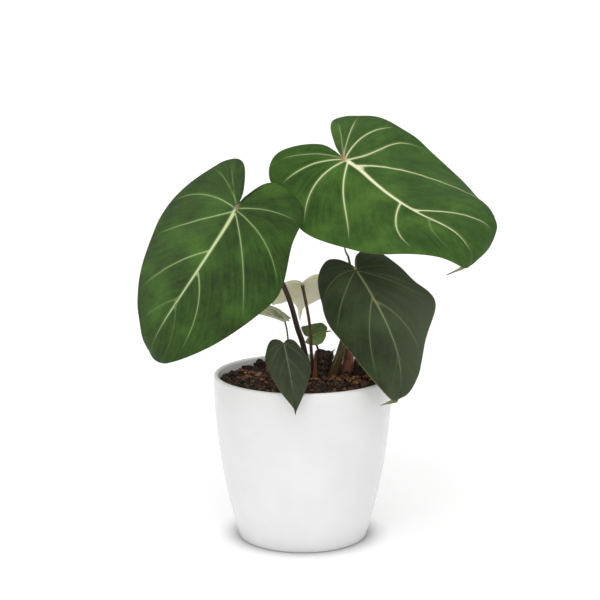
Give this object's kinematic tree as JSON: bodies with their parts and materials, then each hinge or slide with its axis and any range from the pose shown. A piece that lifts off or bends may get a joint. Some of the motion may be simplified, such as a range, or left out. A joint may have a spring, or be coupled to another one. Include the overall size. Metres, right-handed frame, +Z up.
{
  "type": "potted philodendron gloriosum",
  "caption": "Creeping aroid house plant with large velvety heart-shaped, pale-veined leaves on slender stalks, rising from bark soil in a glossy white round pot.",
  "frame": {"origin": "middle of the pot's underside, on the surface that it stands on", "axes": "+Z up along the pot's axis; the plant's front, where the leaves face, looks along -Y; +X is to the right of someone who looks at the front"},
  "size_m": [0.2721, 0.1622, 0.3281],
  "materials": {
    "pot_white": "gloss",
    "soil": "loose peat and bark",
    "rhizome": "fibrous, ring scarred",
    "blade_green": "velvety",
    "blade_dark_green": "velvety",
    "blade_young_green": "velvety",
    "blade_pale": "matt underside",
    "stalk_dark": "finely striped",
    "stalk_olive": "finely striped",
    "sheath": "dry and papery"
  },
  "bodies": {
    "root": {"pot": "pot_white", "soil": "soil", "rhizome": "rhizome", "blade_left": "blade_green", "blade_upper": "blade_green", "blade_right": "blade_dark_green", "blade_front": "blade_dark_green", "blade_folded": "blade_young_green", "blade_young": "blade_pale", "blade_inner": "blade_young_green", "stalk_left": "stalk_dark", "stalk_upper": "stalk_olive", "stalk_right": "stalk_olive", "stalk_front": "stalk_dark", "stalk_folded": "stalk_dark", "stalk_young": "stalk_dark", "stalk_inner": "stalk_dark", "sheath_large": "sheath", "sheath_small": "sheath"}
  },
  "joints": []
}
